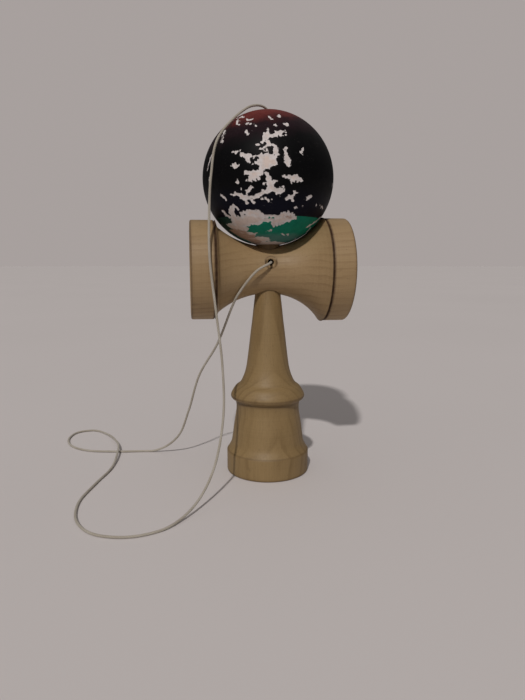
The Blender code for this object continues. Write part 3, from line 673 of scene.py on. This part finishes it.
def cord_finish():
    """Off-white spun thread, slightly soiled."""
    f = Finish("cord_thread")
    spot = f.scaled(f.node("TexCoord", {}, out="Object"), (1000, 1000, 1000))
    valley = f.attribute("valley")
    soil = f.noise(spot, 0.12, 3.0)
    fibre = f.noise(spot, 5.0, 3.0, 0.7)
    colour = f.mix(f.ease(soil, 0.3, 0.7), (0.46, 0.43, 0.372), (0.37, 0.335, 0.276))
    # painted shade: the valleys between the strands are coloured darker
    colour = f.mix(f.math("MULTIPLY", valley, 0.7), colour, (0.22, 0.18, 0.13))
    colour = f.mix(f.ease(fibre, 0.5, 0.75, 0.0, 0.3), colour, (0.55, 0.52, 0.46))
    f.set(Base_Color=colour, Roughness=f.ease(fibre, 0.3, 0.7, 0.75, 0.95), Normal=f.bump(fibre, 0.05, 0.6))
    f.set(Sheen_Weight=0.25, Sheen_Roughness=0.5)
    return f.material


def bead_finish():
    """A dark moulded bead with a faint mould bloom."""
    f = Finish("bead_plastic")
    spot = f.scaled(f.node("TexCoord", {}, out="Object"), (1000, 1000, 1000))
    bloom = f.noise(spot, 0.7, 4.0, 0.6)
    colour = f.mix(f.ease(bloom, 0.35, 0.7), (0.075, 0.065, 0.055), (0.13, 0.11, 0.09))
    f.set(Base_Color=colour, Roughness=f.ease(bloom, 0.3, 0.7, 0.4, 0.6), Normal=f.bump(bloom, 0.02, 0.4))
    return f.material


def stage_finish():
    """A plain pale studio surface."""
    f = Finish("studio_surface")
    spot = f.node("TexCoord", {}, out="Object")
    tone = f.noise(spot, 3.0, 3.0)
    f.set(Base_Color=f.mix(tone, (0.62, 0.586, 0.58), (0.66, 0.624, 0.619)), Roughness=0.75)
    return f.material


# ---------------------------------------------------------------- pieces


def give(piece, body, slot, finish, *nodes):
    """Puts a piece in a body in place of its nodes, with its finish."""
    piece.data.materials.clear()
    piece.data.materials.append(finish)
    piece.data.set_sharp_from_angle(angle=math.radians(50))
    if body:
        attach(piece, body)
    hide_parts(*nodes)
    return piece


def cup_end(outer, mouth, depth, height, edge, up, spacing):
    """A cup's end: its rounded outer edge, its rim and the ball-shaped cup to its middle."""
    lip = 0.4 * edge
    side = arc((outer - edge, height - up * edge), edge, 0, up * 90, 0.2)
    radius = (mouth * mouth + depth * depth) / (2 * depth)
    centre = height - up * lip + up * (radius - depth)
    tilt = 90 - math.degrees(math.asin(mouth / radius))
    bowl = arc((0, centre), radius, -up * tilt, -up * 90, spacing)
    bowl[-1, 0] = 0
    rim = smooth([(outer - edge, height), (mouth + lip, height), tuple(bowl[0])], 0.3)
    return chain(side, rim, bowl)


def ken_outline(spacing):
    tip = smooth([(0, TIP_Z), *SPIKE], 0.3)
    tip[0, 0] = 0
    return chain(
        tip,
        even([SPIKE[-1], SPIKE_ROOT, SEAT_BOTTOM], spacing),
        smooth([SEAT_BOTTOM, *NECK, *COLLAR, *GRIP], 0.5 * spacing),
        smooth([GRIP[-1], BASE_CREASE], 0.3),
        [(BASE_R, BASE_BAND_TOP)],
        even([(BASE_R, BASE_BAND_TOP), (BASE_R, BASE_EDGE)], spacing),
        cup_end(BASE_R, *BASE_CUP, 0, BASE_EDGE, -1, spacing),
    )


def build_ken(finish):
    piece = turned("ken_turned", ken_outline(0.8), 168)
    chance = random.Random(11)
    spots = []
    for _ in range(26):
        turn = chance.uniform(0, 2 * math.pi)
        radius, height = chance.choice(
            [(17.8, 38.6), (17.7, 37.4), (20, 9.8), (20, 1.2), (19.9, 5), (3, 142.5)]
        )
        spots.append((
            (radius * math.cos(turn), radius * math.sin(turn), height + chance.uniform(-0.4, 0.4)),
            chance.uniform(0.8, 2.2), chance.uniform(0.06, 0.28),
        ))  # fmt: skip
    dents(piece, spots, 3.0)
    hole = [(0, 12), (CORD_HOLE_R, 12), (CORD_HOLE_R, -KEN_KNOT_Y), (0, -KEN_KNOT_Y)]
    cut(piece, drill(hole, True, CORD_HOLE_Z))
    recess = [(0, 2.4 - KEN_KNOT_Y), (KNOT_RECESS_R, 2.4 - KEN_KNOT_Y), (KNOT_RECESS_R, -12), (0, -12)]
    cut(piece, drill(recess, True, CORD_HOLE_Z))
    points = points_of(piece)
    radius = np.hypot(points[:, 0], points[:, 1])
    height = points[:, 2]
    # painted shade: darker wood in the base's crease, under the collar, in a crease line round the collar's
    # edge and on the spike's root under the ball
    crease_shade = 0.4 * near(height, BASE_CREASE[1], 0.35)
    under_collar_shade = 0.4 * near(height, UNDER_COLLAR_Z, 0.8)
    collar_line_shade = 0.5 * near(height, COLLAR_LINE_Z, 0.45) * (radius > 17)
    base_edge = 0.5 * ease(radius, BASE_R - 0.4, BASE_R) * near(height, 0, 0.9)
    tip = 0.5 * ease(height, *TIP_GRIME)
    root_shade = 0.55 * ease(height, *SPIKE_ROOT_SHADE[:2]) * (1 - ease(height, *SPIKE_ROOT_SHADE[2:]))
    mark(piece, "grime_and_shade", np.clip(crease_shade + under_collar_shade + collar_line_shade + base_edge + tip + root_shade, 0, 1))
    mark(piece, "dent", np.zeros(len(points)))
    return give(piece, "ken", "wood", finish, "ken")


def lip_and_groove(cove_end, lip, floor, band, side):
    """The lip and the turned groove between a cove and its rim band, from the cove outwards."""
    radius, x = lip
    end_r, end_x = cove_end
    rise = smooth([(end_r, end_x), (radius - 0.35, side * (x - 0.2)), (radius, side * (x + 0.06))], 0.2)
    dip = smooth(
        [(radius, side * (x + 0.1)), (floor, side * (x + 0.42)), (floor, side * (x + 0.54)),
         (band - 0.15, side * (x + GROOVE_WIDTH - 0.12)), (band, side * (x + GROOVE_WIDTH + 0.1))], 0.12,
    )  # fmt: skip
    return chain(rise, dip)


def cove(radius, end_x, side, spacing):
    """The hollow between the waist and a band, from the waist outwards."""
    spots = np.linspace(0, end_x, round(end_x / spacing) + 1)
    waist = WAIST_R + COVE_CLOSE
    return [(waist + radius - math.sqrt(radius * radius - x * x), side * x) for x in spots]


def sarado_outline(spacing):
    big_cove = cove(BIG_COVE_R, BIG_COVE_X, 1, spacing)
    small_cove = cove(SMALL_COVE_R, SMALL_COVE_X, -1, spacing)
    big_band = SARADO_HALF - RIM_EDGE, BIG_LIP[1] + GROOVE_WIDTH + 0.1
    small_band = -SMALL_LIP[1] - GROOVE_WIDTH - 0.1, RIM_EDGE - SARADO_HALF
    return chain(
        cup_end(BIG_R, *BIG_CUP, SARADO_HALF, RIM_EDGE, 1, spacing)[::-1],
        even([(BIG_R, x) for x in big_band], spacing),
        lip_and_groove(big_cove[-1], BIG_LIP, BIG_GROOVE_R, BIG_R, 1)[::-1],
        big_cove[::-1],
        small_cove,
        lip_and_groove(small_cove[-1], SMALL_LIP, SMALL_GROOVE_R, SMALL_R, -1),
        even([(SMALL_R, x) for x in small_band], spacing),
        cup_end(SMALL_R, *SMALL_CUP, -SARADO_HALF, RIM_EDGE, -1, spacing),
    )


def build_sarado(finish):
    piece = turned("sarado_turned", sarado_outline(0.8), 208)
    points = points_of(piece)
    set_points(piece, np.stack([points[:, 2], points[:, 1], SARADO_Z - points[:, 0]], axis=1))
    chance = random.Random(29)
    spots = [((28.6, -24.3, 98), 0.9, 0.3), ((27.6, -22, 86.5), 0.8, 0.25), ((30.5, -24.4, 100), 0.7, 0.12)]
    for _ in range(34):
        turn = chance.uniform(0, 2 * math.pi)
        radius, x = chance.choice(
            [(SMALL_R, -35.4), (BIG_R, 35.4), (SMALL_R, -26.2), (BIG_R, 26.8), (24.5, 31)]
        )
        spots.append((
            (x + chance.uniform(-0.4, 0.4), radius * math.cos(turn), SARADO_Z + radius * math.sin(turn)),
            chance.uniform(0.7, 2.0), chance.uniform(0.05, 0.25),
        ))  # fmt: skip
    dents(piece, spots, 5.0)
    (top_r, top_z), (low_r, low_z) = SPIKE_ROOT, SEAT_BOTTOM
    slope = (low_r - top_r) / (top_z - low_z)
    seat = [
        (0, top_z + 6), (top_r + SEAT_GAP - slope * 6, top_z + 6),
        (low_r + SEAT_GAP + slope * 6, low_z - 6), (0, low_z - 6),
    ]  # fmt: skip
    cut(piece, drill(seat))
    sink_r, sink_depth = CORD_HOLE_SINK
    hole = [
        (0, 20), (sink_r + 2.5, 20), (sink_r, CORD_HOLE_SKIN),
        (CORD_HOLE_R, CORD_HOLE_SKIN - sink_depth), (CORD_HOLE_R, 3), (0, 3),
    ]  # fmt: skip
    cut(piece, drill(hole, True, CORD_HOLE_Z))
    points = points_of(piece)
    x = points[:, 0]
    radius = np.hypot(points[:, 1], points[:, 2] - SARADO_Z)
    grime_and_shade = np.zeros(len(points))
    for middle, deepest in ((BIG_LIP[1] + 0.5, BIG_R - 1.4), (-SMALL_LIP[1] - 0.5, SMALL_R - 1.2)):
        grime_and_shade += (1 - ease(np.abs(x - middle), 0.42, 0.75)) * (radius > deepest)
    # painted shade: a thin dark line round each rounded outer rim edge
    for end, outer in ((SARADO_HALF, BIG_R), (-SARADO_HALF, SMALL_R)):
        grime_and_shade += 0.6 * near(abs(x), SARADO_HALF - 0.25, 0.5) * (radius > outer - 0.8) * (x * end > 0)
    for end, (mouth, _) in ((SARADO_HALF, BIG_CUP), (-SARADO_HALF, SMALL_CUP)):
        grime_and_shade += 0.28 * near(radius, mouth - 1.2, 0.9) * (abs(x) > 30) * (x * end > 0)
    front = np.hypot(x, points[:, 2] - CORD_HOLE_Z)
    grime_and_shade += 0.55 * near(front, sink_r, 0.35) * (points[:, 1] < -8)
    mark(piece, "grime_and_shade", np.clip(grime_and_shade, 0, 1))
    away = [np.linalg.norm(points - np.array(c), axis=1) / r for c, r, _ in spots[:2]]
    mark(piece, "dent", np.clip(1.2 - np.min(away, axis=0) * 1.4, 0, 1))
    return give(piece, "ken", "wood", finish, "sarado")


def directions(strokes):
    """Strokes as (unit vectors, half widths)."""
    made = []
    for stroke in strokes:
        lon, lat, half = np.array(stroke, float).T
        lon, lat = np.radians(lon), np.radians(lat)
        ends = np.stack([np.cos(lat) * np.sin(lon), -np.cos(lat) * np.cos(lon), np.sin(lat)], axis=1)
        made.append((ends, half))
    return made


def inside(rays, strokes):
    """How far each ray from the ball's centre lies inside the strokes, in degrees; negative outside."""
    deepest = np.full(len(rays), -90.0)
    for ends, half in directions(strokes):
        for a, b, ra, rb in zip(ends, ends[1:], half, half[1:]):
            along = b - a
            t = np.clip((rays - a) @ along / max(along @ along, 1e-12), 0, 1)
            away = np.degrees(np.linalg.norm(rays - (a + t[:, None] * along), axis=1))
            deepest = np.maximum(deepest, ra + (rb - ra) * t - away)
    return deepest


def far_side_chips():
    """Chips on the side away from the camera, in the same manner as the front's."""
    chance = random.Random(4)
    strokes = []
    for _ in range(46):
        lon, lat = chance.uniform(98, 258), chance.uniform(-62, 62)
        heading = chance.uniform(0, 2 * math.pi)
        half = chance.choice([0.6, 0.8, 1.0, 1.3, 2.0, 2.8])
        stroke = [(lon, lat, 0.4 * half)]
        for _ in range(chance.randint(1, 5)):
            heading += chance.uniform(-1.1, 1.1)
            step = chance.uniform(1.0, 2.6) * max(half, 1.0)
            lat += step * math.sin(heading)
            lon += step * math.cos(heading) / math.cos(math.radians(lat))
            stroke.append((lon, lat, half * chance.uniform(0.4, 1.1)))
        strokes.append(stroke)
    for lon in range(92, 268, 17):
        lat = chance.uniform(-66, -56)
        first = lon, lat, chance.uniform(0.6, 2.2)
        strokes.append([first, (lon + chance.uniform(4, 11), lat - 3, chance.uniform(0.5, 2))])
    return strokes


def ball_outline():
    def latitude(radius):
        return math.degrees(math.acos(radius / BALL_R))

    top_r = BALL_CORD_HOLE_R + BALL_CORD_BEVEL
    low_r = BORE_R + BORE_BEVEL
    skin = arc((0, BALL_Z), BALL_R, latitude(top_r), -latitude(low_r), 0.48)
    bevel_z = skin[-1][1] + BORE_BEVEL
    drill_end = BORE_END_Z + (BORE_R - BALL_CORD_HOLE_R) / DRILL_SLOPE
    hole_top = skin[0][1] - BALL_CORD_BEVEL
    return chain(
        skin,
        smooth([tuple(skin[-1]), (BORE_R + 0.35, bevel_z - 0.6), (BORE_R, bevel_z)], 0.3),
        even([(BORE_R, bevel_z), (BORE_R, BORE_END_Z)], 1.0),
        even([(BORE_R, BORE_END_Z), (BALL_CORD_HOLE_R, drill_end), (BALL_CORD_HOLE_R, hole_top)], 0.9),
        smooth([(BALL_CORD_HOLE_R, hole_top), tuple(skin[0])], 0.3)[:-1],
    )


def build_ball(finish):
    piece = turned("ball_painted", ball_outline(), 392, closed=True)
    points = points_of(piece)
    rays = points - np.array((0, 0, BALL_Z))
    length = np.linalg.norm(rays, axis=1)
    rays /= length[:, None]
    per_degree = math.radians(1) * BALL_R
    ragged = 0.7 * lumps(points, 1.5, 1.0) + 0.8 * lumps(points, 0.85, 2.0)
    strokes = CHIPS + far_side_chips()
    chip = inside(rays, strokes) * per_degree + ragged
    chip = np.minimum(chip, -inside(rays, ISLETS) * per_degree + 0.6 * ragged)
    rim = np.degrees(np.arcsin(np.clip(rays[:, 2], -1, 1)))
    low_edge = -math.degrees(math.acos((BORE_R + BORE_BEVEL) / BALL_R))
    chip = np.maximum(chip, (low_edge + 4 - rim) * per_degree + 1.2 * ragged)
    chip = np.clip(chip, -3, 6)
    skin = length > BALL_R - 0.02
    bare = inside(rays, BARE) * per_degree + ragged
    mark(piece, "chip", chip)
    mark(piece, "bare", np.clip(bare, -3, 3))
    mark(piece, "inside", (~skin & (np.hypot(points[:, 0], points[:, 1]) < BORE_R + 0.5)).astype(float))
    push = PAINT * ease(chip, -0.12, 0.16) * skin
    dings = np.zeros(len(points))
    chance = random.Random(8)
    for _ in range(60):
        lat, lon = math.asin(chance.uniform(-0.85, 0.95)), chance.uniform(0, 2 * math.pi)
        spot = math.cos(lat) * math.sin(lon), -math.cos(lat) * math.cos(lon), math.sin(lat)
        away = np.linalg.norm(rays * BALL_R - np.array(spot) * BALL_R, axis=1)
        depth = chance.uniform(0.03, 0.12)
        dings = np.maximum(dings, depth * (1 - ease(away, 0.2, chance.uniform(0.9, 2.2))))
    set_points(piece, points - rays * (push + dings * skin)[:, None])
    return give(piece, "ball", "ball_paint", finish, "ball")


def build_bead(finish):
    turn = 1.1
    brim = [(BEAD_HOLE_R, BEAD_HIGH_Z - 0.3), (BEAD_HOLE_R + 0.3, BEAD_HIGH_Z), (BEAD_R - turn, BEAD_HIGH_Z)]
    outline = chain(
        smooth(brim, 0.2),
        arc((BEAD_R - turn, BEAD_HIGH_Z - turn), turn, 90, 0, 0.2),
        arc((BEAD_R - turn, BEAD_LOW_Z + turn), turn, 0, -90, 0.2),
        smooth([(BEAD_R - turn, BEAD_LOW_Z), (BEAD_SINK_R, BEAD_LOW_Z)], 0.2),
        even([(BEAD_SINK_R, BEAD_LOW_Z), (BEAD_HOLE_R, BEAD_LOW_Z + BEAD_SINK_DEPTH)], 0.3),
        even([(BEAD_HOLE_R, BEAD_LOW_Z + BEAD_SINK_DEPTH), (BEAD_HOLE_R, BEAD_HIGH_Z - 0.3)], 0.5)[:-1],
    )
    return give(turned("bead_turned", outline, 64, closed=True), "bead", "bead", finish, "bead")


def strand_relief(along, turn):
    """The radius of a cord of twisted strands: rounded lobes that wind along it, with a little unevenness."""
    phase = STRANDS * (turn - 2 * math.pi * along / TWIST)
    valley = np.abs(np.sin(phase / 2)) ** 3
    yarn = 0.012 * np.sin(9 * turn + 2 * math.pi * along / 0.9)
    return CORD_R * (1.02 - 0.16 * valley + yarn)


def strand_valley(along, turn):
    phase = STRANDS * (turn - 2 * math.pi * along / TWIST)
    return np.abs(np.sin(phase / 2)) ** 5


def cord_tube(name, line, sides=20):
    piece = tube(name, line, sides, strand_relief)
    line = np.array(line)
    along = np.r_[0, np.cumsum(np.linalg.norm(np.diff(line, axis=0), axis=1))]
    turn = np.linspace(0, 2 * math.pi, sides, endpoint=False)
    mark(piece, "valley", np.r_[strand_valley(along[:, None], turn[None, :]).ravel(), 0, 0])
    return piece


def build_cord(finish):
    line = even(between(CORD_ROUTE, 24), 0.36)
    line[:, 2] = np.maximum(line[:, 2], CORD_FLOOR_Z)
    piece = cord_tube("cord_strand", line)
    give(piece, None, "cord", finish, "cord")
    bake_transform(piece)


def knot(centre, start, tail, towards):
    """A straight end of cord that runs to an overhand knot and a short tail, along a unit direction."""
    ahead = Vector(towards)
    side = ahead.orthogonal().normalized()
    up = ahead.cross(side)
    loop = [
        (0.0, 0.0, -1.9), (0.55, 0.1, -0.8), (0.95, 0.9, 0.1), (0.1, 1.25, 0.6), (-1.05, 0.7, 0.2),
        (-1.1, -0.5, -0.4), (-0.1, -1.15, -0.2), (0.8, -0.4, 0.5), (0.3, 0.2, 1.4), (0.1, 0.1, 1.4 + tail),
    ]  # fmt: skip
    middle = Vector(centre)
    points = [Vector(start)] + [middle + side * a + up * b + ahead * c for a, b, c in loop]
    return even(between(points, 10), 0.25)


def build_knots(finish):
    top = CORD_ROUTE[-1][2] - SEAT_GAP
    line = knot((0, 0, BEAD_LOW_Z + 0.2), (0, 0, top), 2.0, (0, 0, -1))
    give(cord_tube("knot_under_bead", line), "bead", "cord", finish, "cord_end_in_ball")
    front = CORD_ROUTE[0][1] + SEAT_GAP
    line = knot((0, KEN_KNOT_Y, CORD_HOLE_Z), (0, front, CORD_HOLE_Z), 1.2, (0, 1, 0))
    give(cord_tube("knot_in_ken", line), "ken", "cord", finish, "cord_end_in_ken")


# ---------------------------------------------------------------- studio


def camera():
    data = bpy.data.cameras.new("camera")
    data.lens = LENS
    data.sensor_width = 36
    data.clip_start = 0.01
    eye = bpy.data.objects.new("camera", data)
    eye.location = EYE
    eye.rotation_euler = (math.radians(90 - EYE_DOWN), 0, math.radians(EYE_TURN))
    bpy.context.scene.collection.objects.link(eye)
    bpy.context.scene.camera = eye


def key_light():
    """A distant lamp, high on the left of the camera."""
    data = bpy.data.lights.new("key", "SUN")
    data.energy = KEY_POWER
    data.angle = math.radians(2.2)
    data.color = (1.0, 0.96, 0.93)
    light = bpy.data.objects.new("key", data)
    light.location = KEY_PLACE
    light.rotation_euler = (-Vector(KEY_PLACE)).to_track_quat("-Z", "Y").to_euler()
    bpy.context.scene.collection.objects.link(light)


def soft_sky():
    """A soft sky that is brightest overhead, with a plain pale backdrop where the camera sees it."""
    world = bpy.data.worlds.new("soft_sky")
    world.use_nodes = True
    nodes, links = world.node_tree.nodes, world.node_tree.links
    backdrop = nodes["Background"]
    backdrop.inputs["Color"].default_value = BACKDROP
    sky = nodes.new("ShaderNodeBackground")
    sky.inputs["Color"].default_value = (1.0, 0.95, 0.93, 1)
    up = nodes.new("ShaderNodeSeparateXYZ")
    links.new(nodes.new("ShaderNodeTexCoord").outputs["Generated"], up.inputs[0])
    strength = nodes.new("ShaderNodeMapRange")
    strength.interpolation_type = "SMOOTHSTEP"
    for name, value in zip(("From Min", "From Max", "To Min", "To Max"), SKY_STRENGTH):
        strength.inputs[name].default_value = value
    links.new(up.outputs["Z"], strength.inputs["Value"])
    links.new(strength.outputs[0], sky.inputs["Strength"])
    choice = nodes.new("ShaderNodeMixShader")
    links.new(nodes.new("ShaderNodeLightPath").outputs["Is Camera Ray"], choice.inputs[0])
    links.new(sky.outputs[0], choice.inputs[1])
    links.new(backdrop.outputs[0], choice.inputs[2])
    links.new(choice.outputs[0], nodes["World Output"].inputs["Surface"])
    bpy.context.scene.world = world


def studio():
    """A wide pale floor under a key lamp and a soft sky."""
    floor = turned("studio_floor", [(15000, 0), (2000, 0), (0, 0)], 64)
    floor.data.materials.append(stage_finish())
    key_light()
    soft_sky()
    bpy.context.scene.view_settings.view_transform = "Standard"


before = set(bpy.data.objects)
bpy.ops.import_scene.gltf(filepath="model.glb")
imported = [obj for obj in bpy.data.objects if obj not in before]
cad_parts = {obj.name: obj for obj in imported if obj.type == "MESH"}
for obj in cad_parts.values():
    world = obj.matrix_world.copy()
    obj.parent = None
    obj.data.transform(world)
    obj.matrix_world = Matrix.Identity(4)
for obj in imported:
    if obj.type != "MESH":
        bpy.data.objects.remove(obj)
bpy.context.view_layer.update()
camera()
build_cord(cord_finish())
build_knots(bpy.data.materials["cord_thread"])
build_ken(wood("ken_wood", "Z", (6, 52), (0.275, 0.185, 0.080), (0.18, 0.113, 0.043), BURNT_AND_SHADE))
build_sarado(wood("sarado_wood", "X", (18, -52), (0.353, 0.241, 0.121), (0.24, 0.152, 0.07), BURNT_AND_SHADE))
build_ball(ball_finish())
build_bead(bead_finish())
studio()
